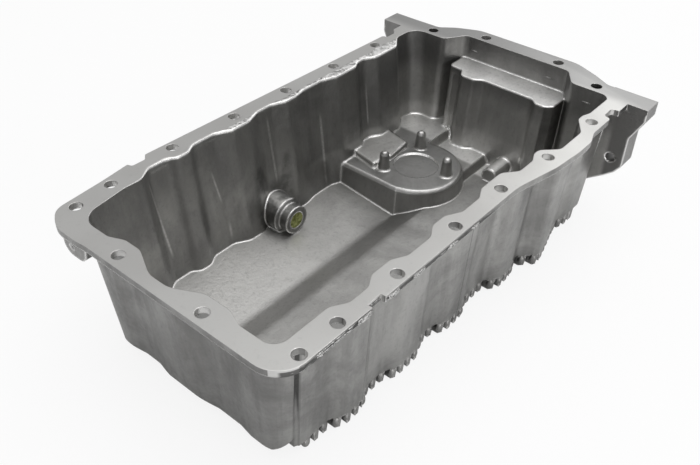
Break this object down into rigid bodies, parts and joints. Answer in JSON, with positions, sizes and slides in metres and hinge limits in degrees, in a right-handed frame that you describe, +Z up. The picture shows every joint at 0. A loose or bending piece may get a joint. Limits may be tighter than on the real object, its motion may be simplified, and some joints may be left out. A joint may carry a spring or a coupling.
{
  "type": "engine oil pan",
  "caption": "Cast aluminium oil pan with scalloped walls, bolted sealing flange, finned underside, gearbox lugs, drain boss and drain plug.",
  "frame": {"origin": "centre of the pan's box, on the plane it rests on", "axes": "+X along the pan to its gearbox end, +Y across it to the side with the drain plug, +Z up to the open sealing face"},
  "size_m": [0.417, 0.2556, 0.11],
  "materials": {
    "cast_aluminium": "as cast, machined on the sealing face",
    "zinc_plated_steel": "yellow-green passivated zinc",
    "washer_aluminium": "plain"
  },
  "bodies": {
    "root": {"oil_pan": "cast_aluminium", "drain_plug": "zinc_plated_steel", "drain_plug_washer": "washer_aluminium"}
  },
  "joints": []
}
